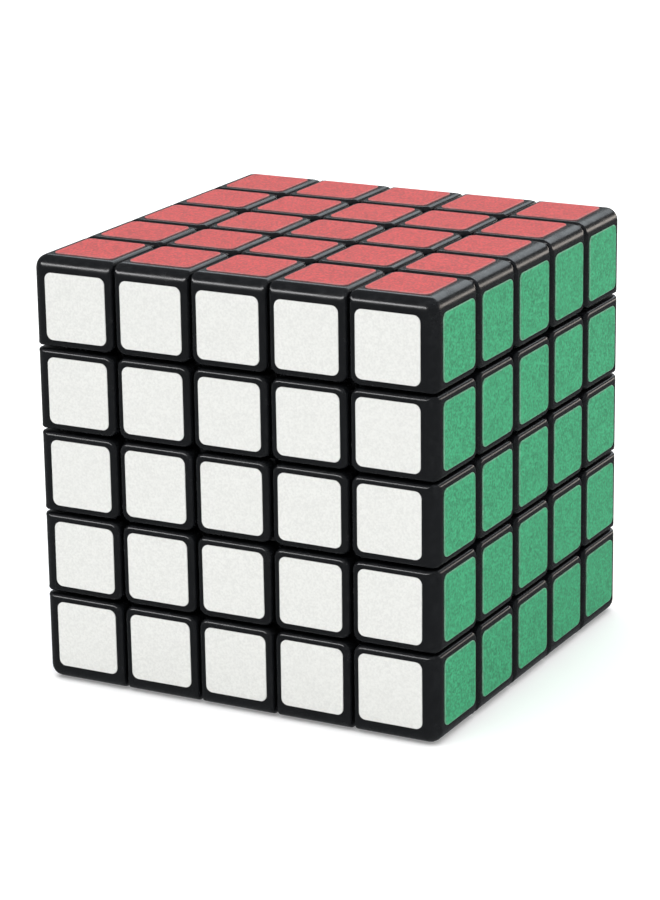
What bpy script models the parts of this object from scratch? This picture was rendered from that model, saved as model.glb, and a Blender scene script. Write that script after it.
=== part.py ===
"""A 5x5x5 twisty puzzle cube: 98 outer pieces whose feet hook under each other round a six-armed core.

Units are metres, +Z is up, and the origin is the centre of the core, where the three turning axes meet.

Each turning axis has four layer boundaries. A boundary is a surface of revolution about its axis: flat near
the faces, then a cone towards the centre, with an undercut step that hooks a foot under its neighbours.
A piece is its own cell between three pairs of boundaries, so every layer can turn on every axis.
"""

import math

import bmesh
import bpy
from mathutils import Matrix, Vector

MM = 0.001

# Driving dimensions.
SIZE = 64.0 * MM  # the whole cube, face to face
HALF = SIZE / 2
PITCH = 12.4 * MM  # width of the three inner layers; the outer layers take the rest
INNER_CUT = PITCH / 2  # flat boundary between the middle slice and the slices beside it
OUTER_CUT = 1.5 * PITCH  # flat boundary between an inner slice and an outer layer
RUNNING_GAP = 0.30 * MM  # clearance between two cells, at every boundary
HEAD_INSET = 0.05 * MM  # a head is this much narrower than its cell on each side
EDGE_RADIUS = 1.1 * MM  # width of the relief along a piece's edges
EDGE_SEGMENTS = 1
GROOVE_DEPTH = 1.6 * MM  # how far down the rounded heads reach before the plain body starts
TURN_SEGMENTS = 24  # facets round each turning axis

# The outer boundary: a flat, the neck's cone, the step under the neck, then the foot's cone.
OUTER_BEND_RADIUS = 29.8 * MM
STEP_RADIUS = 24.5 * MM  # distance from the cube's centre at which both boundaries step
OUTER_NECK_ANGLE = math.radians(60.5)
OUTER_FOOT_ANGLE = math.radians(67.0)
INNER_FOOT_HEIGHT = 4.4 * MM  # height of the inner boundary just inside its step
INNER_FOOT_END = 3.5 * MM  # and where the foot ends, at the hollow
HOLLOW = 15.5 * MM  # radius of the round hollow that the core sits in
FOOT_END = 0.85  # boundaries run in to this share of the hollow's radius

# The core, and what holds each fixed centre to it.
HUB_RADIUS = 7.0 * MM
HUB_TURN = math.radians(20)  # so that the hub's facets and the arms' facets don't meet edge to edge
ARM_RADIUS = 3.8 * MM
ARM_LENGTH = 14.6 * MM
PILOT_HOLE_RADIUS = 1.7 * MM
PILOT_HOLE_END = 5.0 * MM
SCREW_RADIUS = 1.4 * MM
SCREW_TIP = 6.0 * MM
SCREW_POINT_RADIUS = 0.9 * MM
SCREW_POINT_LENGTH = 0.8 * MM
SCREW_HEAD_RADIUS = 2.3 * MM
SCREW_FLANGE_RADIUS = 2.8 * MM
SCREW_FLANGE_BASE = 26.0 * MM
SCREW_FLANGE_THICKNESS = 0.6 * MM
SCREW_HEAD_TOP = 27.8 * MM
RECESS_WIDTH = 0.8 * MM
RECESS_LENGTH = 3.0 * MM
RECESS_DEPTH = 0.9 * MM
CLEARANCE_HOLE_RADIUS = 1.75 * MM
CHAMBER_RADIUS = 3.15 * MM  # the spring's chamber inside a fixed centre
CHAMBER_FLOOR = 20.5 * MM
BORE_SEGMENTS = 12
SPRING_WIRE_RADIUS = 0.3 * MM
SPRING_COIL_RADIUS = 2.25 * MM
SPRING_TURNS = 4
SPRING_POINTS_PER_TURN = 8
SPRING_WIRE_SIDES = 4
CAP_THICKNESS = 1.7 * MM
CAP_PEG_RADIUS = 4.1 * MM
CAP_PEG_BORE_RADIUS = 3.1 * MM
CAP_PEG_END = 28.3 * MM
CAP_PEG_ROOT = 31.0 * MM

MATERIALS = {  # base colour, roughness, metallic
    "black_plastic": ((0.012, 0.013, 0.015), 0.38, 0.0),
    "cap_plastic": ((0.014, 0.015, 0.017), 0.42, 0.0),
    "core_plastic": ((0.10, 0.105, 0.11), 0.5, 0.0),
    "screw_steel": ((0.56, 0.57, 0.58), 0.3, 1.0),
    "spring_steel": ((0.62, 0.61, 0.58), 0.25, 1.0),
}

FAR = 60.0 * MM  # outside the cube, where cutters end
WELD = 0.0001 * MM
UNEVEN = 0.01 * MM  # keeps two creases from crossing exactly edge to edge
CLEAN_DISTANCE = 0.004 * MM  # crumbs shorter than this are closed up after carving
FLAT_ANGLE = math.radians(0.05)  # faces this close to one plane are joined
SHARP_ANGLE = math.radians(35)  # edges sharper than this are shaded sharp
ORDER_DIRECTION = Vector((1.0, 0.6180, 0.3247))  # askew, so that no two places tie along it

QUARTER = math.pi / 2
IN_PLACE = Matrix.Identity(4)
SIDES = ("right", "back", "left", "front")  # +X, +Y, -X, -Y: a quarter turn about Z steps along these
TURN_TO_BOTTOM = Matrix.Rotation(math.pi, 4, "X")
TURN_TO_SIDE = Matrix.Rotation(QUARTER, 4, "Y")  # carries +Z to +X
TURN_TO_UPRIGHT = Matrix.Rotation(-QUARTER, 4, "X")  # carries +Z to +Y
AXES = {"X": TURN_TO_SIDE, "Y": TURN_TO_UPRIGHT, "Z": IN_PLACE}  # what carries +Z to each turning axis


def turned(quarters):
    """A turn of this many quarters about Z."""
    return Matrix.Rotation(quarters * QUARTER, 4, "Z")


# ---------------------------------------------------------------- materials


def make_material(name, colour, roughness, metallic):
    material = bpy.data.materials.new(name)
    material.use_nodes = True
    shader = material.node_tree.nodes["Principled BSDF"]
    shader.inputs["Base Color"].default_value = (*colour, 1.0)
    shader.inputs["Roughness"].default_value = roughness
    shader.inputs["Metallic"].default_value = metallic
    return material


# ---------------------------------------------------------------- mesh helpers


def mesh_from(bm, name):
    bmesh.ops.recalc_face_normals(bm, faces=bm.faces)
    mesh = bpy.data.meshes.new(name)
    bm.to_mesh(mesh)
    bm.free()
    return mesh


def lathe(profile, segments, name="lathe"):
    """A closed profile of (radius, height) points, turned about Z."""
    bm = bmesh.new()
    points = [bm.verts.new((radius, 0.0, height)) for radius, height in profile]
    edges = [bm.edges.new(pair) for pair in zip(points, points[1:] + points[:1])]
    bmesh.ops.spin(bm, geom=points + edges, cent=(0, 0, 0), axis=(0, 0, 1), angle=math.tau, steps=segments)
    bmesh.ops.remove_doubles(bm, verts=bm.verts, dist=WELD)
    bmesh.ops.dissolve_degenerate(bm, edges=bm.edges, dist=WELD)
    return mesh_from(bm, name)


def ball(radius, segments, name="ball"):
    """A faceted ball at the origin."""
    count = segments // 2
    angles = [math.pi * step / count for step in range(count + 1)]
    return lathe([(radius * math.sin(angle), radius * math.cos(angle)) for angle in angles], segments, name)


def box(low, high, radius=0.0, name="box"):
    """A box between two corners, with its edges rounded if radius is given."""
    bm = bmesh.new()
    low, high = Vector(low), Vector(high)
    place = Matrix.Translation((low + high) / 2) @ Matrix.Diagonal((*(high - low), 1.0))
    bmesh.ops.create_cube(bm, size=1.0, matrix=place)
    if radius:
        bmesh.ops.bevel(bm, geom=bm.edges[:], offset=radius, segments=EDGE_SEGMENTS, affect="EDGES")
    return mesh_from(bm, name)


def helper(mesh, matrix=IN_PLACE):
    """An object that only shapes others, so it isn't part of the cube."""
    obj = bpy.data.objects.new("helper", mesh)
    obj.matrix_world = matrix
    obj.hide_render = True
    obj.display_type = "WIRE"
    bpy.context.scene.collection.objects.link(obj)
    return obj


def carve(mesh, steps, name):
    """The mesh after a list of (operation, mesh, matrix) Booleans."""
    base = helper(mesh)
    tools = [helper(tool, matrix) for _, tool, matrix in steps]
    for (operation, _, _), tool in zip(steps, tools):
        modifier = base.modifiers.new(operation.lower(), "BOOLEAN")
        modifier.operation = operation
        modifier.solver = "EXACT"
        modifier.object = tool
    bpy.context.view_layer.update()
    graph = bpy.context.evaluated_depsgraph_get()
    result = bpy.data.meshes.new_from_object(base.evaluated_get(graph))
    result.name = name
    for obj in [base, *tools]:
        bpy.data.objects.remove(obj)
    clean(result)
    return result


def put_in_order(bm):
    """Orders everything by how far along it lies, so that cleaning always meets it in one order."""
    bm.verts.sort(key=lambda vertex: vertex.co.dot(ORDER_DIRECTION))
    bm.edges.sort(key=lambda edge: (edge.verts[0].co + edge.verts[1].co).dot(ORDER_DIRECTION))
    bm.faces.sort(key=lambda face: face.calc_center_median().dot(ORDER_DIRECTION))
    for sequence in (bm.verts, bm.edges, bm.faces):
        sequence.index_update()


def clean(mesh):
    """Closes up crumbs of edges, and joins faces that lie in one plane."""
    bm = bmesh.new()
    bm.from_mesh(mesh)
    put_in_order(bm)
    bmesh.ops.remove_doubles(bm, verts=bm.verts, dist=CLEAN_DISTANCE)
    put_in_order(bm)
    bmesh.ops.dissolve_degenerate(bm, edges=bm.edges, dist=CLEAN_DISTANCE)
    put_in_order(bm)
    bmesh.ops.dissolve_limit(bm, angle_limit=FLAT_ANGLE, verts=bm.verts, edges=bm.edges)
    bm.to_mesh(mesh)
    bm.free()


def offset_line(points, distance):
    """An open line of (radius, height) points moved sideways, to the left of its direction."""
    moved = []
    for start, end in zip(points, points[1:]):
        along = (end - start).normalized()
        side = Vector((-along.y, along.x)) * distance
        moved.append((start + side, along))
    line = [moved[0][0]]
    for (first, along), (second, other) in zip(moved, moved[1:]):
        cross = along.x * other.y - along.y * other.x
        between = second - first
        reach = (between.x * other.y - between.y * other.x) / cross
        line.append(first + along * reach)
    line.append(moved[-1][0] + (points[-1] - points[-2]))
    return line


# ---------------------------------------------------------------- layer boundaries


def polar(distance, angle):
    """A (radius, height) point at this distance from the centre and angle from the axis."""
    return Vector((distance * math.sin(angle), distance * math.cos(angle)))


def outer_boundary():
    """Between an inner slice and an outer layer, from outside to the axis."""
    return [
        Vector((FAR, OUTER_CUT)),
        Vector((OUTER_BEND_RADIUS, OUTER_CUT)),
        polar(STEP_RADIUS, OUTER_NECK_ANGLE),
        polar(STEP_RADIUS, OUTER_FOOT_ANGLE),
        polar(FOOT_END * HOLLOW, OUTER_FOOT_ANGLE),
    ]


def inner_boundary():
    """Between the middle slice and an inner slice, from outside to the axis."""
    return [
        Vector((FAR, INNER_CUT)),
        Vector((math.sqrt(STEP_RADIUS**2 - INNER_CUT**2), INNER_CUT)),
        Vector((math.sqrt(STEP_RADIUS**2 - INNER_FOOT_HEIGHT**2), INNER_FOOT_HEIGHT)),
        Vector((HOLLOW, INNER_FOOT_END)),
        Vector((FOOT_END * HOLLOW, INNER_FOOT_END)),
    ]


def layer_profile(layer, shrink):
    """The closed outline of a layer, drawn in from its boundaries by shrink."""
    above, below = -shrink, shrink
    if layer == 0:
        upper = offset_line(inner_boundary(), below)
        lower = [Vector((point.x, -point.y)) for point in reversed(upper)]
        return [*upper, Vector((0, upper[-1].y)), Vector((0, lower[0].y)), *lower]
    if layer == 1:
        upper = offset_line(outer_boundary(), below)
        lower = offset_line(inner_boundary(), above)
        return [*upper, *reversed(lower)]
    upper = offset_line(outer_boundary(), above)
    return [*upper, Vector((0, upper[-1].y)), Vector((0, FAR)), Vector((FAR, FAR))]


def layer_cutter(axis, layer, shrink):
    """(mesh, matrix) of one layer about an axis. Negative layers are on the axis's negative side."""
    mesh = lathe(layer_profile(abs(layer), shrink), TURN_SEGMENTS, f"layer_{axis}{layer}")
    matrix = AXES[axis]
    return mesh, matrix @ TURN_TO_BOTTOM if layer < 0 else matrix


# ---------------------------------------------------------------- cells and heads


def slab(layer):
    """(low, high) of a layer's heads along its axis."""
    inset = RUNNING_GAP / 2 + HEAD_INSET
    limits = [
        (-INNER_CUT + inset, INNER_CUT - inset),
        (INNER_CUT + inset, OUTER_CUT - inset),
        (OUTER_CUT + inset, HALF),
    ]
    low, high = limits[abs(layer)]
    return (-high, -low) if layer < 0 else (low, high)


def head(position):
    """The rounded head of the piece at (x, y, z), counted in layers from the centre."""
    low, high = zip(*(slab(layer) for layer in position))
    return box(low, high, EDGE_RADIUS, "head")


def body_block():
    """The plain block that fills the cube below its grooves."""
    reach = HALF - GROOVE_DEPTH
    return box((-reach,) * 3, (reach,) * 3, name="block")


def hollow():
    """The round room in the middle of the cube."""
    return ball(HOLLOW, TURN_SEGMENTS, "hollow")


def cell_steps(position):
    """Keeps only the room between a piece's layer boundaries, about X, Y and Z in turn."""
    shrinks = (RUNNING_GAP / 2 + step * UNEVEN for step in range(3))
    cutters = [layer_cutter(axis, layer, shrink) for axis, layer, shrink in zip("XYZ", position, shrinks)]
    return [("INTERSECT", *cutter) for cutter in cutters]


def single_piece(position, name):
    """The piece at this position: its head and its share of the block, cut to its own cell."""
    steps = [
        ("UNION", head(position), IN_PLACE),
        *cell_steps(position),
        ("DIFFERENCE", hollow(), IN_PLACE),
    ]
    return carve(body_block(), steps, name)


def round_bar(radius, low, high, segments=BORE_SEGMENTS, name="bar"):
    """A cylinder along Z."""
    return lathe([(0, low), (radius, low), (radius, high), (0, high)], segments, name)


def many_heads(positions):
    """Several separate heads in one mesh."""
    bm = bmesh.new()
    for position in positions:
        bm.from_mesh(head(position))
    return mesh_from(bm, "heads")


# ---------------------------------------------------------------- rings of joined pieces


def ring_positions(layer):
    """The places of one layer about Z that its ring fills."""
    span = range(-2, 3)
    if layer == 1:
        return [(x, y, layer) for x in span for y in span if 2 in (abs(x), abs(y))]
    taken = ((2, 2), (2, 0), (0, 2), (0, 0))
    return [(x, y, layer) for x in span for y in span if (abs(x), abs(y)) not in taken]


def column(x, y, name):
    """The room a single piece needs in a face layer, from the layers it is in about X and Y."""
    mesh, matrix = layer_cutter("X", x, -RUNNING_GAP / 2)
    other, other_matrix = layer_cutter("Y", y, -RUNNING_GAP / 2 - UNEVEN)
    mesh.transform(matrix)
    return carve(mesh, [("INTERSECT", other, other_matrix)], name)


def slice_ring(name):
    """The 16 pieces of an inner slice, as one ring."""
    steps = [
        ("UNION", many_heads(ring_positions(1)), IN_PLACE),
        ("INTERSECT", *layer_cutter("Z", 1, RUNNING_GAP / 2)),
        ("DIFFERENCE", hollow(), IN_PLACE),
    ]
    return carve(body_block(), steps, name)


def face_ring(name):
    """The 16 pieces of a face layer that are no corner, middle edge or fixed centre, as one ring."""
    corner_room, edge_room = column(2, 2, "corner_room"), column(2, 0, "edge_room")
    steps = [
        ("UNION", many_heads(ring_positions(2)), IN_PLACE),
        ("INTERSECT", *layer_cutter("Z", 2, RUNNING_GAP / 2)),
        ("DIFFERENCE", column(0, 0, "centre_room"), IN_PLACE),
        *(("DIFFERENCE", room, turned(count)) for room in (corner_room, edge_room) for count in range(4)),
        ("DIFFERENCE", hollow(), IN_PLACE),
    ]
    return carve(body_block(), steps, name)


# ---------------------------------------------------------------- core, fixed centres and their fixings


def towards_faces():
    """(name, matrix) for each face, carrying +Z to that face."""
    return [
        ("top", IN_PLACE),
        *((side, turned(count) @ TURN_TO_SIDE) for count, side in enumerate(SIDES)),
        ("bottom", TURN_TO_BOTTOM),
    ]


def make_core(name):
    """A round hub with six arms, each with a pilot hole for its screw."""
    hub = ball(HUB_RADIUS, BORE_SEGMENTS)
    hub.transform(Matrix.Rotation(HUB_TURN, 4, ORDER_DIRECTION))
    pilot = round_bar(PILOT_HOLE_RADIUS, PILOT_HOLE_END, HOLLOW)
    steps = []
    for count, axis in enumerate("XYZ"):
        arm = round_bar(ARM_RADIUS + count * UNEVEN, -ARM_LENGTH, ARM_LENGTH)
        steps.append(("UNION", arm, AXES[axis]))
    steps += [("DIFFERENCE", pilot, matrix) for _, matrix in towards_faces()]
    return carve(hub, steps, name)


def make_fixed_centre(name):
    """A centre piece with a seat for its cap, a spring chamber and a clearance hole for its screw."""
    seat = HALF - CAP_THICKNESS - RUNNING_GAP
    above = box((-HALF, -HALF, seat), (HALF, HALF, FAR))
    peg_room = round_bar(CAP_PEG_RADIUS + RUNNING_GAP, CAP_PEG_END - RUNNING_GAP, HALF)
    chamber = round_bar(CHAMBER_RADIUS, CHAMBER_FLOOR, HALF)
    hole = round_bar(CLEARANCE_HOLE_RADIUS, 0, HALF)
    steps = [("DIFFERENCE", cutter, IN_PLACE) for cutter in (above, peg_room, chamber, hole)]
    return carve(single_piece((0, 0, 2), "blank"), steps, name)


def make_cap(name):
    """The top of a fixed centre's head, with a round skirt that plugs into the piece."""
    plate = box((-HALF, -HALF, HALF - CAP_THICKNESS), (HALF, HALF, FAR))
    outline = [
        (CAP_PEG_BORE_RADIUS, CAP_PEG_END),
        (CAP_PEG_RADIUS, CAP_PEG_END),
        (CAP_PEG_RADIUS, CAP_PEG_ROOT),
        (CAP_PEG_BORE_RADIUS, CAP_PEG_ROOT),
    ]
    steps = [("INTERSECT", plate, IN_PLACE), ("UNION", lathe(outline, BORE_SEGMENTS, "skirt"), IN_PLACE)]
    return carve(head((0, 0, 2)), steps, name)


def make_screw(name):
    """A flanged screw with a cross recess, pointing down."""
    flange_top = SCREW_FLANGE_BASE + SCREW_FLANGE_THICKNESS
    outline = [
        (0, SCREW_TIP),
        (SCREW_POINT_RADIUS, SCREW_TIP),
        (SCREW_RADIUS, SCREW_TIP + SCREW_POINT_LENGTH),
        (SCREW_RADIUS, SCREW_FLANGE_BASE),
        (SCREW_FLANGE_RADIUS, SCREW_FLANGE_BASE),
        (SCREW_FLANGE_RADIUS, flange_top),
        (SCREW_HEAD_RADIUS, flange_top),
        (SCREW_HEAD_RADIUS, SCREW_HEAD_TOP),
        (0, SCREW_HEAD_TOP),
    ]
    half_length, half_width = RECESS_LENGTH / 2, RECESS_WIDTH / 2
    low, high = SCREW_HEAD_TOP - RECESS_DEPTH, HALF
    slots = [
        box((-half_length, -half_width, low), (half_length, half_width, high)),
        box((-half_width, -half_length, low), (half_width, half_length, high)),
    ]
    return carve(lathe(outline, BORE_SEGMENTS), [("DIFFERENCE", slot, IN_PLACE) for slot in slots], name)


def make_spring(name):
    """A round wire coiled up the axis, between the chamber's floor and the screw's flange."""
    low = CHAMBER_FLOOR + RUNNING_GAP + SPRING_WIRE_RADIUS
    high = SCREW_FLANGE_BASE - RUNNING_GAP - SPRING_WIRE_RADIUS
    count = SPRING_TURNS * SPRING_POINTS_PER_TURN
    bm = bmesh.new()
    rings = []
    for step in range(count + 1):
        angle = math.tau * step / SPRING_POINTS_PER_TURN
        outward = Vector((math.cos(angle), math.sin(angle), 0))
        middle = outward * SPRING_COIL_RADIUS + Vector((0, 0, low + (high - low) * step / count))
        ring = []
        for side in range(SPRING_WIRE_SIDES):
            around = math.tau * side / SPRING_WIRE_SIDES
            offset = outward * math.cos(around) + Vector((0, 0, math.sin(around)))
            ring.append(bm.verts.new(middle + offset * SPRING_WIRE_RADIUS))
        rings.append(ring)
    for one, other in zip(rings, rings[1:]):
        for side in range(SPRING_WIRE_SIDES):
            after = (side + 1) % SPRING_WIRE_SIDES
            bm.faces.new((one[side], one[after], other[after], other[side]))
    bm.faces.new(rings[0])
    bm.faces.new(rings[-1])
    return mesh_from(bm, name)


# ---------------------------------------------------------------- assembly


def place(mesh, name, matrix, material):
    """A named object of the cube. Its origin stays at the cube's centre, on every turning axis."""
    obj = bpy.data.objects.new(name, mesh)
    obj.matrix_world = matrix
    if not mesh.materials:
        mesh.materials.append(material)
        mesh.shade_smooth()
        mesh.set_sharp_from_angle(angle=SHARP_ANGLE)
    bpy.context.scene.collection.objects.link(obj)
    return obj


def place_on_face_layers(mesh, stem, names, outward, material):
    """Copies of a piece of the top layer round the top layer and the bottom layer.

    The bottom ones are turned over about outward, the piece's direction from the axis, so that each
    ends up straight below the top one of the same name.
    """
    for layer, flip in (("top", IN_PLACE), ("bottom", Matrix.Rotation(math.pi, 4, outward))):
        for count, name in enumerate(names):
            place(mesh, f"{stem}_{layer}_{name}", turned(count) @ flip, material)


def place_ring_pair(mesh, upper_name, lower_name, material):
    place(mesh, upper_name, IN_PLACE, material)
    place(mesh, lower_name, TURN_TO_BOTTOM, material)


def build_cube():
    materials = {name: make_material(name, *look) for name, look in MATERIALS.items()}
    plastic = materials["black_plastic"]

    place(make_core("core"), "core", IN_PLACE, materials["core_plastic"])
    kinds = [
        ("fixed_centre", make_fixed_centre, plastic),
        ("centre_cap", make_cap, materials["cap_plastic"]),
        ("tension_screw", make_screw, materials["screw_steel"]),
        ("tension_spring", make_spring, materials["spring_steel"]),
    ]
    for stem, make, material in kinds:
        mesh = make(stem)
        for face, matrix in towards_faces():
            place(mesh, f"{stem}_{face}", matrix, material)

    # A quarter turn about Z carries each place to the next side.
    corner_names = [f"{side}_{SIDES[(count + 1) % 4]}" for count, side in enumerate(SIDES)]
    corner = single_piece((2, 2, 2), "corner")
    place_on_face_layers(corner, "corner", corner_names, Vector((1, 1, 0)), plastic)
    edge = single_piece((2, 0, 2), "middle_edge")
    place_on_face_layers(edge, "middle_edge", SIDES, Vector((1, 0, 0)), plastic)
    for count, name in enumerate(corner_names):
        place(edge, f"middle_edge_{name}", turned(count) @ TURN_TO_UPRIGHT, plastic)
    beside = single_piece((2, 1, 0), "beside_centre")
    for count, side in enumerate(SIDES):
        after, before = SIDES[(count + 1) % 4], SIDES[count - 1]
        place(beside, f"centre_{side}_towards_{after}", turned(count), plastic)
        place(beside, f"centre_{side}_towards_{before}", turned(count) @ TURN_TO_BOTTOM, plastic)

    place_ring_pair(slice_ring("slice_ring"), "slice_ring_upper", "slice_ring_lower", plastic)
    place_ring_pair(face_ring("face_ring"), "face_ring_top", "face_ring_bottom", plastic)


for old in list(bpy.data.objects):
    bpy.data.objects.remove(old)
build_cube()
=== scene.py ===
"""The looks of a 5x5x5 twisty puzzle cube: 98 moulded pieces with their feet, 6 caps and 150 vinyl squares,
in worn satin plastic, in a soft white studio."""

import itertools
import math
import random

import bmesh
import bpy
from mathutils import Matrix, Vector


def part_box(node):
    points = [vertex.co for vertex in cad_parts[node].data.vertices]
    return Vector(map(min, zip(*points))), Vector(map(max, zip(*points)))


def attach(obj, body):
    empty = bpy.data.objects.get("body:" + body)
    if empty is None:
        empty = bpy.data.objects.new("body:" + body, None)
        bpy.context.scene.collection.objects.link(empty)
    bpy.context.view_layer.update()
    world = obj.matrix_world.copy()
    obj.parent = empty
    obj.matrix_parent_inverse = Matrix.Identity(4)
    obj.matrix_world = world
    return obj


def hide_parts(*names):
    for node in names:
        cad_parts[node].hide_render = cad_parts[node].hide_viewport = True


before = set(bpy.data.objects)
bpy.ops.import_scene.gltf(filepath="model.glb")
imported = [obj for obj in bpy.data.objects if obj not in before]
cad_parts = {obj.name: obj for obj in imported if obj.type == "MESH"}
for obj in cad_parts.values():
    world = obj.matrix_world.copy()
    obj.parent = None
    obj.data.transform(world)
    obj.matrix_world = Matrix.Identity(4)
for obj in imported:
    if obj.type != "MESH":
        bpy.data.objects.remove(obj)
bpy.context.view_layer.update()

MM = 0.001

# ---------------------------------------------------------------- sizes

# Of the CAD solids, read from the frame where they show in a node's box.
GAP = 0.30 * MM  # between two pieces
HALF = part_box("face_ring_top")[1].z
INNER_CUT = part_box("middle_edge_top_front")[1].x + GAP / 2
OUTER_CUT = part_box("slice_ring_upper")[1].z + GAP / 2
CAP_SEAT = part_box("fixed_centre_top")[1].z + GAP
CAP_PEG_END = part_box("centre_cap_top")[0].z
CAP_PEG_RADII = (3.1 * MM, 4.1 * MM)
PITCH = INNER_CUT * 2  # from one inner layer to the next

# Of the heads and stickers.
HEAD_INSET = 0.20 * MM  # from the plane between two layers to a head's side
GROOVE_DEPTH = 3.0 * MM
GROOVE_RADIUS = 0.7 * MM  # rounding of the edges beside a groove
CORNER_RADIUS = 1.5 * MM  # rounding of a head's corners, seen from straight above it
CUBE_RADIUS = 1.9 * MM  # rounding of the edges of the whole cube
EDGE_SEGMENTS = 5

STICKER_SIZE = 9.86 * MM
STICKER_THICKNESS = 0.14 * MM
STICKER_SINK = 0.02 * MM
STICKER_RADIUS = 1.0 * MM
STICKER_CORNER_STEPS = 7
STICKER_SHARP_ANGLE = math.radians(50)
STICKER_LIP = 0.05 * MM  # rounding of the upper edge
STICKER_RIM = 0.18 * MM  # how far in the cut edge shows
STICKER_SHIFT = 0.05 * MM  # how unevenly they are stuck on
STICKER_TURN = math.radians(0.35)
OUTER_STICKER_CENTRE = 24.79 * MM  # on the layers at the rim of a face, from the middle of the face

# Of the layer boundaries, as in the CAD solids but round where those have facets.
TURN_SEGMENTS = 48
BORE_SEGMENTS = 48
BEND_RADIUS = 29.8 * MM
STEP_RADIUS = 24.5 * MM
NECK_ANGLE = math.radians(60.5)
FOOT_ANGLE = math.radians(67.0)
INNER_FOOT_HEIGHT = 4.4 * MM
INNER_FOOT_END = 3.5 * MM
HOLLOW = 15.5 * MM  # radius of the space for the core
HOLLOW_STEPS = 36
FOOT_END = 0.85  # where the boundaries end, as a share of that radius
FAR = 60.0 * MM  # well outside the cube
UNEVEN = 0.01 * MM  # keeps two creases from crossing exactly edge to edge
WELD = 0.0001 * MM
CLEAN_DISTANCE = 0.004 * MM
SHARP_ANGLE = math.radians(32)
ORDER_DIRECTION = Vector((1.0, 0.6180, 0.3247))  # askew, so that no two places tie along it

QUARTER = math.pi / 2
IN_PLACE = Matrix.Identity(4)
TO_AXIS = {"X": Matrix.Rotation(QUARTER, 4, "Y"), "Y": Matrix.Rotation(-QUARTER, 4, "X"), "Z": IN_PLACE}
BODIES = {2: "top_layer", 1: "upper_slice", 0: "middle_layer", -1: "lower_slice", -2: "bottom_layer"}
SIDES = ("right", "back", "left", "front")

# The faces, by (axis, side).
FACE_COLOURS = {
    (2, 2): "red",
    (2, -2): "orange",
    (0, 2): "green",
    (0, -2): "blue",
    (1, -2): "white",
    (1, 2): "yellow",
}
FACE_NAMES = {
    (2, 2): "top",
    (2, -2): "bottom",
    (0, 2): "right",
    (0, -2): "left",
    (1, -2): "front",
    (1, 2): "back",
}

# ---------------------------------------------------------------- looks

BLACK_PLASTIC = {"colour": (0.0060, 0.0066, 0.0078), "worn": (0.018, 0.019, 0.021), "roughness": 0.22}
CAP_PLASTIC = {"colour": (0.0064, 0.0070, 0.0082), "worn": (0.018, 0.019, 0.021), "roughness": 0.24}
CORE_PLASTIC = {"colour": (0.10, 0.105, 0.11), "worn": (0.2, 0.2, 0.2), "roughness": 0.45}
SCREW_STEEL = {"colour": (0.60, 0.61, 0.62), "roughness": 0.28}
SPRING_STEEL = {"colour": (0.62, 0.61, 0.58), "roughness": 0.22}
VINYLS = {
    "white": {"colour": (0.84, 0.842, 0.809), "contrast": 0.05},
    "green": {"colour": (0.040, 0.380, 0.176), "contrast": 0.34},
    "red": {"colour": (0.56, 0.085, 0.083), "contrast": 0.32},
    "yellow": {"colour": (0.70, 0.52, 0.05), "contrast": 0.16},
    "blue": {"colour": (0.02, 0.09, 0.38), "contrast": 0.40},
    "orange": {"colour": (0.72, 0.21, 0.035), "contrast": 0.28},
}
BRIGHTEST_VINYL = 0.94
PIECE_VARIETY = 37.0  # how far apart the noise of two pieces can lie

# ---------------------------------------------------------------- studio

FLOOR_SIZE = 8.0
FLOOR_STEPS = 24
FLOOR_CLEARANCE = 0.02 * MM  # so that the floor isn't in one plane with the lowest stickers
FLOOR_COLOURS = ((0.93, 0.93, 0.93), (0.95, 0.95, 0.95))
FLOOR_GLOW = 0.24
WORLD_COLOUR = (0.93, 0.97, 1.0, 1.0)
WORLD_STRENGTH = 0.17
SKYLIGHT_DIRECTION = (-0.10, -0.15, 1.2)
SKYLIGHT_POWER = 3.0  # watts per square metre
SKYLIGHT_SPREAD = math.radians(80)
SOFTBOXES = {
    "right": {"location": (1.1, -0.5, 0.6), "size": (0.9, 0.9), "power": 3.6, "glossy": False},
    "front_strip": {"location": (-0.5, -0.95, 0.55), "size": (1.2, 0.20), "power": 8.0, "diffuse": False},
    "right_strip": {
        "location": (0.55, 0.95, 0.14), "size": (0.9, 0.18), "power": 1.6, "colour": (1.0, 0.91, 0.82),
    },
    "behind": {
        "location": (-0.2, 1.0, 0.62), "size": (1.1, 0.28), "power": 1.8, "colour": (0.88, 0.95, 1.0),
    },
}
CAMERA_AZIMUTH = math.radians(27.95)
CAMERA_ELEVATION = math.radians(16.81)
CAMERA_ROLL = math.radians(0.82)
CAMERA_LENS = 126.2
CAMERA_DISTANCE = 0.4706
CAMERA_AIM = Vector((-0.00075, -0.00087, -0.00149))

chance = random.Random(555)


# ---------------------------------------------------------------- nodes for materials


def new_material(name):
    material = bpy.data.materials.new(name)
    material.use_nodes = True
    return material, material.node_tree.nodes, material.node_tree.links


def add(nodes, kind, **settings):
    node = nodes.new(kind)
    for key, value in settings.items():
        setattr(node, key, value)
    return node


def noise(nodes, links, scale, detail=3.0, roughness=0.55):
    """Noise over the object's own coordinates, different on each piece."""
    coordinates = add(nodes, "ShaderNodeTexCoord")
    tone = add(nodes, "ShaderNodeAttribute", attribute_type="OBJECT", attribute_name="tone")
    stretch = add(nodes, "ShaderNodeMath", operation="MULTIPLY")
    stretch.inputs[1].default_value = PIECE_VARIETY
    links.new(tone.outputs["Fac"], stretch.inputs[0])
    texture = add(nodes, "ShaderNodeTexNoise", noise_dimensions="4D")
    texture.inputs["Scale"].default_value = scale
    texture.inputs["Detail"].default_value = detail
    texture.inputs["Roughness"].default_value = roughness
    links.new(coordinates.outputs["Object"], texture.inputs["Vector"])
    links.new(stretch.outputs[0], texture.inputs["W"])
    return texture.outputs["Fac"]


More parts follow.
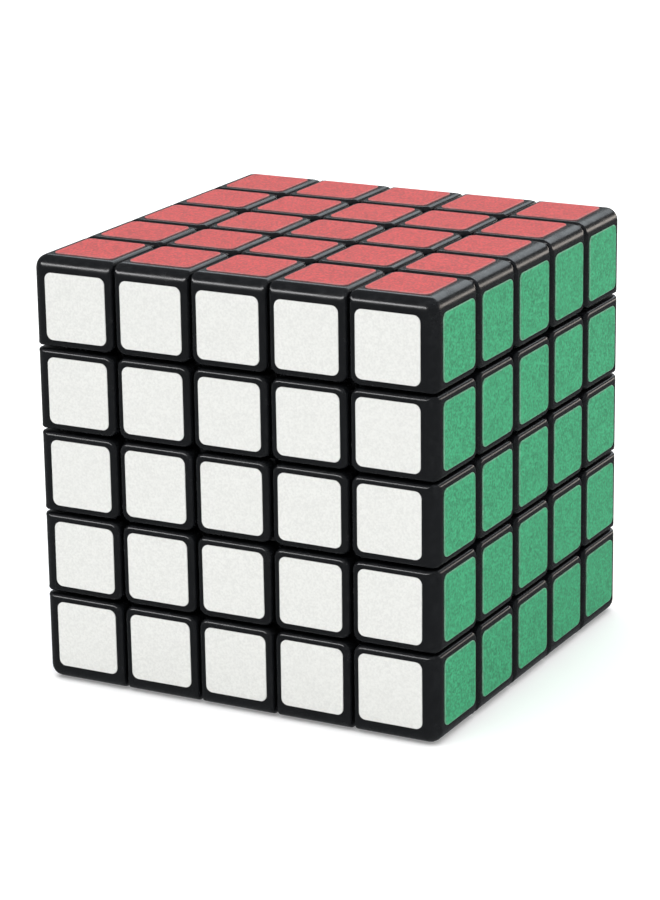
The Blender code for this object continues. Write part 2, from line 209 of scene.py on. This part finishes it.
def remap(nodes, links, value, old_range, new_range):
    ramp = add(nodes, "ShaderNodeMapRange", clamp=True)
    for key, number in zip(("From Min", "From Max", "To Min", "To Max"), (*old_range, *new_range)):
        ramp.inputs[key].default_value = number
    links.new(value, ramp.inputs["Value"])
    return ramp.outputs["Result"]


def combine(nodes, links, operation, first, second):
    node = add(nodes, "ShaderNodeMath", operation=operation)
    for socket, value in zip(node.inputs, (first, second)):
        if isinstance(value, (int, float)):
            socket.default_value = value
        else:
            links.new(value, socket)
    return node.outputs[0]


def blend_colours(nodes, links, factor, first, second):
    mix = add(nodes, "ShaderNodeMix", data_type="RGBA", clamp_factor=True)
    links.new(factor, mix.inputs["Factor"])
    colour_inputs = [socket for socket in mix.inputs if socket.type == "RGBA"]
    for socket, value in zip(colour_inputs, (first, second)):
        if isinstance(value, tuple):
            socket.default_value = (*value, 1.0)
        else:
            links.new(value, socket)
    return next(socket for socket in mix.outputs if socket.type == "RGBA")


def bumps(nodes, links, layers):
    """A chain of Bump nodes from (height, strength, distance) layers."""
    normal = None
    for height, strength, distance in layers:
        node = add(nodes, "ShaderNodeBump")
        node.inputs["Strength"].default_value = strength
        node.inputs["Distance"].default_value = distance
        links.new(height, node.inputs["Height"])
        if normal is not None:
            links.new(normal, node.inputs["Normal"])
        normal = node.outputs["Normal"]
    return normal


def moulded_plastic(name, colour, worn, roughness):
    """Injection-moulded plastic: a fine grain, uneven gloss, and edges polished and scuffed by handling."""
    material, nodes, links = new_material(name)
    shader = nodes["Principled BSDF"]
    edge = add(nodes, "ShaderNodeAttribute", attribute_name="edge").outputs["Fac"]
    cloud = noise(nodes, links, scale=260.0, detail=4.0)
    grain = noise(nodes, links, scale=5200.0, detail=2.0)
    scuff = noise(nodes, links, scale=900.0, detail=6.0, roughness=0.7)
    scuffed = combine(nodes, links, "MULTIPLY", edge, remap(nodes, links, scuff, (0.46, 0.68), (0.0, 1.0)))
    darker, paler = (tuple(part * share for part in colour) for share in (0.8, 1.25))
    tinted = blend_colours(nodes, links, cloud, darker, paler)
    links.new(blend_colours(nodes, links, scuffed, tinted, worn), shader.inputs["Base Color"])
    uneven = remap(nodes, links, cloud, (0.3, 0.7), (roughness - 0.05, roughness + 0.07))
    polished = combine(nodes, links, "MULTIPLY", edge, -0.05)
    rough = combine(nodes, links, "ADD", uneven, polished)
    rough = combine(nodes, links, "ADD", rough, combine(nodes, links, "MULTIPLY", scuffed, 0.12))
    links.new(rough, shader.inputs["Roughness"])
    layers = [(cloud, 0.06, 0.006 * MM), (grain, 0.14, 0.003 * MM), (scuff, 0.06, 0.003 * MM)]
    links.new(bumps(nodes, links, layers), shader.inputs["Normal"])
    return material


def vinyl(name, colour, contrast):
    """Matt vinyl film: a mottled grain, a soft orange peel, and a cut edge where the pale core shows."""
    material, nodes, links = new_material(name)
    shader = nodes["Principled BSDF"]
    shader.inputs["Specular IOR Level"].default_value = 0.35
    shader.inputs["Sheen Weight"].default_value = 0.04
    shader.inputs["Sheen Roughness"].default_value = 0.5
    rim = add(nodes, "ShaderNodeAttribute", attribute_name="rim").outputs["Fac"]
    cloud = noise(nodes, links, scale=420.0, detail=3.0)
    speck = noise(nodes, links, scale=3300.0, detail=1.0, roughness=0.5)
    peel = noise(nodes, links, scale=1500.0, detail=2.0)
    most = combine(nodes, links, "MULTIPLY", speck, 0.9)
    grain = combine(nodes, links, "ADD", most, combine(nodes, links, "MULTIPLY", cloud, 0.1))
    grain = remap(nodes, links, grain, (0.36, 0.64), (0.0, 1.0))
    darker = tuple(part * (1 - contrast) for part in colour)
    paler = tuple(min(part * (1 + contrast), BRIGHTEST_VINYL) for part in colour)
    body = blend_colours(nodes, links, grain, darker, paler)
    cut_edge = combine(nodes, links, "MULTIPLY", rim, remap(nodes, links, cloud, (0.3, 0.7), (0.25, 0.7)))
    core = tuple(0.55 * part + 0.30 for part in colour)
    links.new(blend_colours(nodes, links, cut_edge, body, core), shader.inputs["Base Color"])
    links.new(remap(nodes, links, speck, (0.3, 0.7), (0.42, 0.58)), shader.inputs["Roughness"])
    layers = [(peel, 0.25, 0.012 * MM), (speck, 0.4, 0.008 * MM)]
    links.new(bumps(nodes, links, layers), shader.inputs["Normal"])
    return material


def drawn_steel(name, colour, roughness):
    """Plated steel, a little streaked."""
    material, nodes, links = new_material(name)
    shader = nodes["Principled BSDF"]
    shader.inputs["Metallic"].default_value = 1.0
    cloud = noise(nodes, links, scale=700.0, detail=4.0)
    grain = noise(nodes, links, scale=6000.0, detail=2.0)
    dull = tuple(part * 0.7 for part in colour)
    links.new(blend_colours(nodes, links, cloud, dull, colour), shader.inputs["Base Color"])
    uneven = remap(nodes, links, grain, (0.3, 0.7), (roughness - 0.06, roughness + 0.1))
    links.new(uneven, shader.inputs["Roughness"])
    links.new(bumps(nodes, links, [(grain, 0.3, 0.004 * MM)]), shader.inputs["Normal"])
    return material


# ---------------------------------------------------------------- meshes


def mesh_from(bm, name):
    bmesh.ops.recalc_face_normals(bm, faces=bm.faces)
    mesh = bpy.data.meshes.new(name)
    bm.to_mesh(mesh)
    bm.free()
    return mesh


def helper(mesh, matrix=IN_PLACE):
    obj = bpy.data.objects.new("helper", mesh)
    obj.matrix_world = matrix
    bpy.context.scene.collection.objects.link(obj)
    return obj


def evaluated(obj, name):
    """The mesh with its modifiers applied."""
    bpy.context.view_layer.update()
    graph = bpy.context.evaluated_depsgraph_get()
    applied = obj.evaluated_get(graph)
    mesh = bpy.data.meshes.new_from_object(applied, preserve_all_data_layers=True, depsgraph=graph)
    mesh.name = name
    return mesh


def lathe(profile, segments):
    """A closed profile of (radius, height) points, turned about Z."""
    bm = bmesh.new()
    points = [bm.verts.new((radius, 0.0, height)) for radius, height in profile]
    edges = [bm.edges.new(pair) for pair in zip(points, points[1:] + points[:1])]
    bmesh.ops.spin(bm, geom=points + edges, cent=(0, 0, 0), axis=(0, 0, 1), angle=math.tau, steps=segments)
    bmesh.ops.remove_doubles(bm, verts=bm.verts, dist=WELD)
    bmesh.ops.dissolve_degenerate(bm, edges=bm.edges, dist=WELD)
    return mesh_from(bm, "lathe")


def plain_box(low, high):
    bm = bmesh.new()
    low, high = Vector(low), Vector(high)
    matrix = Matrix.Translation((low + high) / 2) @ Matrix.Diagonal((*(high - low), 1.0))
    bmesh.ops.create_cube(bm, size=1.0, matrix=matrix)
    return bm


def put_in_order(bm):
    """Sorts everything by how far it lies along ORDER_DIRECTION, so that cleaning meets it in one order."""
    bm.verts.sort(key=lambda vertex: vertex.co.dot(ORDER_DIRECTION))
    bm.edges.sort(key=lambda edge: (edge.verts[0].co + edge.verts[1].co).dot(ORDER_DIRECTION))
    bm.faces.sort(key=lambda face: face.calc_center_median().dot(ORDER_DIRECTION))
    for sequence in (bm.verts, bm.edges, bm.faces):
        sequence.index_update()


def carve(mesh, steps, name):
    """The mesh after a list of (operation, mesh, matrix) Booleans, cleaned up and looked over."""
    base = helper(mesh)
    tools = [helper(tool, matrix) for _, tool, matrix in steps]
    for (operation, _, _), tool in zip(steps, tools):
        modifier = base.modifiers.new(operation.lower(), "BOOLEAN")
        modifier.operation = operation
        modifier.solver = "EXACT"
        modifier.object = tool
    result = evaluated(base, name)
    for obj in [base, *tools]:
        bpy.data.objects.remove(obj)
    bm = bmesh.new()
    bm.from_mesh(result)
    put_in_order(bm)
    bmesh.ops.remove_doubles(bm, verts=bm.verts, dist=CLEAN_DISTANCE)
    put_in_order(bm)
    bmesh.ops.dissolve_degenerate(bm, edges=bm.edges, dist=CLEAN_DISTANCE)
    closed = all(len(edge.link_faces) == 2 for edge in bm.edges)
    inside = all(max(map(abs, vertex.co)) <= HALF + WELD for vertex in bm.verts)
    if not (closed and inside):
        raise ValueError(f"{name} isn't a closed solid inside the cube")
    bm.to_mesh(result)
    bm.free()
    return result


def finished(mesh):
    """Smooth shading that leaves flats flat, and an "edge" value that is highest on rounded edges."""
    mesh.shade_smooth()
    mesh.set_sharp_from_angle(angle=SHARP_ANGLE)
    obj = helper(mesh)
    modifier = obj.modifiers.new("normals", "WEIGHTED_NORMAL")
    modifier.keep_sharp = True
    modifier.weight = 100
    result = evaluated(obj, mesh.name)
    bpy.data.objects.remove(obj)
    edge = result.attributes.new("edge", "FLOAT", "POINT")
    most = 1 - math.sqrt(0.5)
    for vertex, value in zip(result.vertices, edge.data):
        value.value = min((1 - max(map(abs, vertex.normal))) / most, 1.0)
    return result


# ---------------------------------------------------------------- layers, heads and feet


def offset_line(points, distance):
    """An open line of (radius, height) points moved sideways, to the left of its direction."""
    moved = []
    for start, end in zip(points, points[1:]):
        along = (end - start).normalized()
        moved.append((start + Vector((-along.y, along.x)) * distance, along))
    line = [moved[0][0]]
    for (first, along), (second, other) in zip(moved, moved[1:]):
        cross = along.x * other.y - along.y * other.x
        between = second - first
        line.append(first + along * (between.x * other.y - between.y * other.x) / cross)
    line.append(moved[-1][0] + (points[-1] - points[-2]))
    return line


def polar(distance, angle):
    """The (radius, height) of a point, from its distance and its angle away from the axis."""
    return Vector((distance * math.sin(angle), distance * math.cos(angle)))


def outer_boundary():
    """(radius, height) of the surface between an outer layer and the one inside it."""
    return [
        Vector((FAR, OUTER_CUT)),
        Vector((BEND_RADIUS, OUTER_CUT)),
        polar(STEP_RADIUS, NECK_ANGLE),
        polar(STEP_RADIUS, FOOT_ANGLE),
        polar(FOOT_END * HOLLOW, FOOT_ANGLE),
    ]


def inner_boundary():
    """(radius, height) of the surface between the middle layer and the next."""
    return [
        Vector((FAR, INNER_CUT)),
        Vector((math.sqrt(STEP_RADIUS**2 - INNER_CUT**2), INNER_CUT)),
        Vector((math.sqrt(STEP_RADIUS**2 - INNER_FOOT_HEIGHT**2), INNER_FOOT_HEIGHT)),
        Vector((HOLLOW, INNER_FOOT_END)),
        Vector((FOOT_END * HOLLOW, INNER_FOOT_END)),
    ]


def layer_profile(layer, shrink):
    """The closed profile of a layer's room, smaller than its share by shrink."""
    if layer == 0:
        upper = offset_line(inner_boundary(), shrink)
        lower = [Vector((point.x, -point.y)) for point in reversed(upper)]
        return [*upper, Vector((0, upper[-1].y)), Vector((0, lower[0].y)), *lower]
    if layer == 1:
        upper = offset_line(outer_boundary(), shrink)
        lower = offset_line(inner_boundary(), -shrink)
        return [*upper, *reversed(lower)]
    upper = offset_line(outer_boundary(), -shrink)
    return [*upper, Vector((0, upper[-1].y)), Vector((0, FAR)), Vector((FAR, FAR))]


def cell_steps(position):
    """Keeps only the room between a piece's layer boundaries, about X, Y and Z in turn."""
    steps = []
    for index, (axis, layer) in enumerate(zip("XYZ", position)):
        mesh = lathe(layer_profile(layer, GAP / 2 + index * UNEVEN), TURN_SEGMENTS)
        steps.append(("INTERSECT", mesh, TO_AXIS[axis]))
    return steps


def slab(layer):
    """(low, high) of a layer's heads along its axis, for the middle layer and those above it."""
    limits = [
        (HEAD_INSET - INNER_CUT, INNER_CUT - HEAD_INSET),
        (INNER_CUT + HEAD_INSET, OUTER_CUT - HEAD_INSET),
        (OUTER_CUT + HEAD_INSET, HALF),
    ]
    return limits[layer]


def outside_faces(edge):
    """How many of the whole cube's faces an edge lies in."""
    return sum(all(abs(vertex.co[axis] - HALF) < WELD for vertex in edge.verts) for axis in range(3))


def head(position):
    """The rounded head of a piece: first its corners, seen from above, then its rim and the cube's edges."""
    low, high = zip(*(slab(layer) for layer in position))
    bm = plain_box(low, high)
    upright = [edge for edge in bm.edges if outside_faces(edge) == 0]
    bmesh.ops.bevel(
        bm,
        geom=upright,
        offset=CORNER_RADIUS,
        offset_type="OFFSET",
        segments=EDGE_SEGMENTS,
        profile=0.5,
        affect="EDGES",
    )
    weights = bm.edges.layers.float.new("bevel_weight_edge")
    weight_by_faces = (0.0, GROOVE_RADIUS / CUBE_RADIUS, 1.0)
    for edge in bm.edges:
        edge[weights] = weight_by_faces[outside_faces(edge)]
    obj = helper(mesh_from(bm, "head"))
    modifier = obj.modifiers.new("round", "BEVEL")
    modifier.limit_method = "WEIGHT"
    modifier.width = CUBE_RADIUS
    modifier.segments = EDGE_SEGMENTS
    modifier.use_clamp_overlap = False
    result = evaluated(obj, "head")
    bpy.data.objects.remove(obj)
    return result


def piece_mesh(position, name):
    """A whole piece: its head, its share of the block under the grooves, and its foot."""
    reach = HALF - GROOVE_DEPTH
    block = mesh_from(plain_box((-reach,) * 3, (reach,) * 3), "block")
    arc = [polar(HOLLOW, math.pi * step / HOLLOW_STEPS) for step in range(HOLLOW_STEPS + 1)]
    hollow = lathe(arc, TURN_SEGMENTS)
    steps = [("UNION", head(position), IN_PLACE), *cell_steps(position), ("DIFFERENCE", hollow, IN_PLACE)]
    return finished(carve(block, steps, name))


def cap_mesh():
    """The head of a fixed centre, cut off at its seat, with the skirt that plugs into the piece."""
    above = mesh_from(plain_box((-HALF, -HALF, CAP_SEAT), (HALF, HALF, FAR)), "above")
    inner, outer = CAP_PEG_RADII
    root = (CAP_SEAT + HALF) / 2
    skirt = lathe([(inner, CAP_PEG_END), (outer, CAP_PEG_END), (outer, root), (inner, root)], BORE_SEGMENTS)
    steps = [("INTERSECT", above, IN_PLACE), ("UNION", skirt, IN_PLACE)]
    return finished(carve(head((0, 0, 2)), steps, "cap"))


def sticker_outline(inset):
    """The points of a sticker's rounded square, moved in from its edge."""
    radius = STICKER_RADIUS - inset
    reach = STICKER_SIZE / 2 - STICKER_RADIUS
    points = []
    for corner in range(4):
        middle = Matrix.Rotation(corner * QUARTER, 2) @ Vector((reach, reach))
        for step in range(STICKER_CORNER_STEPS + 1):
            angle = (corner + step / STICKER_CORNER_STEPS) * QUARTER
            points.append(middle + Vector((math.cos(angle), math.sin(angle))) * radius)
    return points


def sticker_mesh():
    """A thin rounded square with a soft upper edge, stuck on at Z = 0. Its "rim" value is 1 at its edge."""
    bm = bmesh.new()
    rim = bm.verts.layers.float.new("rim")
    rings = []
    bend = 0.3 * STICKER_LIP
    levels = [
        (0.0, -STICKER_SINK, 1.0),
        (0.0, STICKER_THICKNESS - STICKER_LIP, 1.0),
        (bend, STICKER_THICKNESS - bend, 1.0),
        (STICKER_LIP, STICKER_THICKNESS, 0.8),
        (STICKER_RIM, STICKER_THICKNESS, 0.0),
    ]
    for inset, height, value in levels:
        ring = [bm.verts.new((*point, height)) for point in sticker_outline(inset)]
        for vertex in ring:
            vertex[rim] = value
        rings.append(ring)
    for lower, upper in zip(rings, rings[1:]):
        for first in range(len(lower)):
            after = (first + 1) % len(lower)
            bm.faces.new((lower[first], lower[after], upper[after], upper[first]))
    bm.faces.new(rings[-1])
    bm.faces.new(rings[0])
    mesh = mesh_from(bm, "sticker")
    mesh.shade_smooth()
    mesh.set_sharp_from_angle(angle=STICKER_SHARP_ANGLE)
    return mesh


# ---------------------------------------------------------------- pieces in place


def cube_turns():
    """The 24 turns that carry a cube onto itself."""
    turns = []
    for order in itertools.permutations(range(3)):
        for signs in itertools.product((1, -1), repeat=3):
            rows = [[signs[row] if column == order[row] else 0 for column in range(3)] for row in range(3)]
            turn = Matrix(rows)
            if turn.determinant() > 0:
                turns.append(turn)
    return turns


def turn_between(start, end):
    """A turn of the cube that carries one place to another."""
    for turn in cube_turns():
        if all(abs(a - b) < 0.5 for a, b in zip(turn @ Vector(start), end)):
            return turn.to_4x4()


def place(mesh, name, matrix, body, material, slot, *replaced):
    """A piece that shows a mesh, rides on a body, and stands for the CAD nodes it replaces, if any."""
    obj = bpy.data.objects.new(name, mesh)
    obj.matrix_world = matrix
    if not mesh.materials:
        mesh.materials.append(None)
    bpy.context.scene.collection.objects.link(obj)
    obj.material_slots[0].link = "OBJECT"  # so that copies can share a mesh
    obj.material_slots[0].material = material
    obj["tone"] = chance.random()
    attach(obj, body)
    if replaced:
        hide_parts(*replaced)


def place_name(position):
    """Words for a place: the side it is on along each axis, with inner layers marked."""
    words = []
    sides_by_axis = (("bottom", "top"), ("front", "back"), ("left", "right"))
    for layer, sides in zip(reversed(position), sides_by_axis):
        side = sides[layer > 0]
        words.append({0: "mid", 1: "in_" + side, 2: side}[abs(layer)])
    return "_".join(words)


def side_names(position):
    """The named sides a place touches, in the order of a walk round Z."""
    x, y = position[0], position[1]
    sides = {"right": x == 2, "back": y == 2, "left": x == -2, "front": y == -2}
    return [side for side in SIDES if sides[side]]


def cad_node(position):
    """The CAD node that holds the piece at this place."""
    x, y, z = position
    if abs(z) == 1:
        return "slice_ring_upper" if z > 0 else "slice_ring_lower"
    kind = tuple(sorted(map(abs, position)))
    layer = {2: "top", -2: "bottom", 0: ""}[z]
    sides = side_names(position)
    if sides == ["right", "front"]:
        sides = ["front", "right"]
    if kind == (2, 2, 2):
        return f"corner_{layer}_{'_'.join(sides)}"
    if kind == (0, 2, 2):
        return "_".join(word for word in ("middle_edge", layer, *sides) if word)
    if z:
        return f"face_ring_{layer}"
    towards = ("back" if y > 0 else "front") if abs(x) == 2 else ("right" if x > 0 else "left")
    return f"centre_{sides[0]}_towards_{towards}"


def build_pieces(plastic, cap_plastic):
    """Every outer piece, as one of five kinds turned into its place, and the six caps."""
    kinds = {
        (2, 2, 2): "corner",
        (0, 2, 2): "middle_edge",
        (1, 2, 2): "wing_edge",
        (1, 1, 2): "diagonal_centre",
        (0, 1, 2): "side_centre",
    }
    meshes = {kind: piece_mesh(kind, name) for kind, name in kinds.items()}
    cap = cap_mesh()
    span = range(-2, 3)
    for position in itertools.product(span, span, span):
        kind = tuple(sorted(map(abs, position)))
        if kind[2] != 2:
            continue
        matrix = turn_between(kind, position)
        body = BODIES[position[2]]
        if kind == (0, 0, 2):
            axis = max(range(3), key=lambda index: abs(position[index]))
            face = FACE_NAMES[axis, position[axis]]
            place(cap, f"cap_{face}", matrix, body, cap_plastic, "cap_plastic", f"centre_cap_{face}")
            continue
        name = f"moulded_{kinds[kind]}_{place_name(position)}"
        place(meshes[kind], name, matrix, body, plastic, "black_plastic", cad_node(position))


def build_stickers(vinyls):
    """25 stickers on each face, each a little out of line."""
    mesh = sticker_mesh()
    centres = {0: 0.0, 1: PITCH, 2: OUTER_STICKER_CENTRE}
    span = range(-2, 3)
    for axis, side in FACE_COLOURS:
        others = [index for index in range(3) if index != axis]
        for first, second in itertools.product(span, span):
            position = [0, 0, 0]
            position[axis], position[others[0]], position[others[1]] = side, first, second
            spot = Vector([math.copysign(centres[abs(layer)], layer) for layer in position])
            spot[axis] = math.copysign(HALF, side)
            outward = Vector([math.copysign(1, side) if index == axis else 0 for index in range(3)])
            across = Vector([1 if index == others[0] else 0 for index in range(3)])
            up = outward.cross(across)
            turn = Matrix((across, up, outward)).transposed().to_4x4()
            shift = Matrix.Translation(
                (chance.uniform(-1, 1) * STICKER_SHIFT, chance.uniform(-1, 1) * STICKER_SHIFT, 0)
            )
            skew = Matrix.Rotation(chance.uniform(-1, 1) * STICKER_TURN, 4, "Z")
            colour = FACE_COLOURS[axis, side]
            name = f"sticker_{FACE_NAMES[axis, side]}_{place_name(position)}"
            matrix = Matrix.Translation(spot) @ turn @ shift @ skew
            place(mesh, name, matrix, BODIES[position[2]], vinyls[colour], f"sticker_{colour}")


def paint_carried_over(core_plastic, plastic, screw_steel, spring_steel):
    """Better materials for the CAD nodes that stay as they are, all of them inside the cube."""
    looks = {
        "core": core_plastic,
        "fixed_centre": plastic,
        "tension_screw": screw_steel,
        "tension_spring": spring_steel,
    }
    for name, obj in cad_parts.items():
        for stem, material in looks.items():
            if name == stem or name.startswith(stem + "_"):
                obj["tone"] = chance.random()
                for slot in obj.material_slots:
                    slot.material = material


# ---------------------------------------------------------------- studio


def build_floor():
    bm = bmesh.new()
    bmesh.ops.create_grid(bm, x_segments=FLOOR_STEPS, y_segments=FLOOR_STEPS, size=FLOOR_SIZE / 2)
    mesh = mesh_from(bm, "floor")
    floor = bpy.data.objects.new("floor", mesh)
    floor.location.z = -HALF - STICKER_THICKNESS - FLOOR_CLEARANCE
    bpy.context.scene.collection.objects.link(floor)
    material, nodes, links = new_material("pale_floor")
    shader = nodes["Principled BSDF"]
    shader.inputs["Roughness"].default_value = 0.9
    shader.inputs["Specular IOR Level"].default_value = 0.1
    shader.inputs["Emission Color"].default_value = (1.0, 1.0, 1.0, 1.0)
    shader.inputs["Emission Strength"].default_value = FLOOR_GLOW
    cloud = noise(nodes, links, scale=3.0)
    links.new(blend_colours(nodes, links, cloud, *FLOOR_COLOURS), shader.inputs["Base Color"])
    mesh.materials.append(material)
    floor.visible_glossy = False


def softbox(name, location, size, power, colour=(1.0, 1.0, 1.0), diffuse=True, glossy=True):
    """A rectangular area light that faces the cube, for matt light, for reflections or for both."""
    data = bpy.data.lights.new(name, "AREA")
    data.shape = "RECTANGLE"
    data.size, data.size_y = size
    data.energy = power
    data.color = colour
    light = bpy.data.objects.new(name, data)
    light.location = location
    light.rotation_euler = Vector(location).to_track_quat("Z", "Y").to_euler()
    light.visible_diffuse, light.visible_glossy = diffuse, glossy
    bpy.context.scene.collection.objects.link(light)


def skylight(direction, power, spread):
    """Wide, even light from above that the far floor gets as much of as the near floor."""
    data = bpy.data.lights.new("skylight", "SUN")
    data.energy = power
    data.angle = spread
    light = bpy.data.objects.new("skylight", data)
    light.rotation_euler = Vector(direction).to_track_quat("Z", "Y").to_euler()
    light.visible_glossy = False
    bpy.context.scene.collection.objects.link(light)


def build_studio():
    world = bpy.data.worlds.new("studio")
    bpy.context.scene.world = world
    world.use_nodes = True
    background = world.node_tree.nodes["Background"]
    background.inputs["Color"].default_value = WORLD_COLOUR
    background.inputs["Strength"].default_value = WORLD_STRENGTH
    skylight(SKYLIGHT_DIRECTION, SKYLIGHT_POWER, SKYLIGHT_SPREAD)
    for name, settings in SOFTBOXES.items():
        softbox(name, **settings)


def build_camera():
    across, lift = CAMERA_AZIMUTH, CAMERA_ELEVATION
    forward = Vector((-math.sin(across) * math.cos(lift), math.cos(across) * math.cos(lift), -math.sin(lift)))
    level = forward.cross(Vector((0, 0, 1))).normalized()
    right = Matrix.Rotation(CAMERA_ROLL, 3, forward) @ level
    up = right.cross(forward)
    data = bpy.data.cameras.new("camera")
    data.lens = CAMERA_LENS
    data.sensor_width = 36.0
    data.clip_start, data.clip_end = 0.01, 20.0
    camera = bpy.data.objects.new("camera", data)
    rotation = Matrix((right, up, -forward)).transposed().to_4x4()
    camera.matrix_world = Matrix.Translation(CAMERA_AIM - forward * CAMERA_DISTANCE) @ rotation
    bpy.context.scene.collection.objects.link(camera)
    bpy.context.scene.camera = camera


black = moulded_plastic("black_satin_plastic", **BLACK_PLASTIC)
cap_black = moulded_plastic("black_cap_plastic", **CAP_PLASTIC)
grey = moulded_plastic("grey_core_plastic", **CORE_PLASTIC)
screw_steel = drawn_steel("zinc_plated_steel", **SCREW_STEEL)
spring_steel = drawn_steel("spring_wire", **SPRING_STEEL)
vinyls = {colour: vinyl(f"{colour}_vinyl", **look) for colour, look in VINYLS.items()}
build_pieces(black, cap_black)
build_stickers(vinyls)
paint_carried_over(grey, black, screw_steel, spring_steel)
build_floor()
build_studio()
build_camera()
bpy.context.scene.view_settings.view_transform = "Standard"
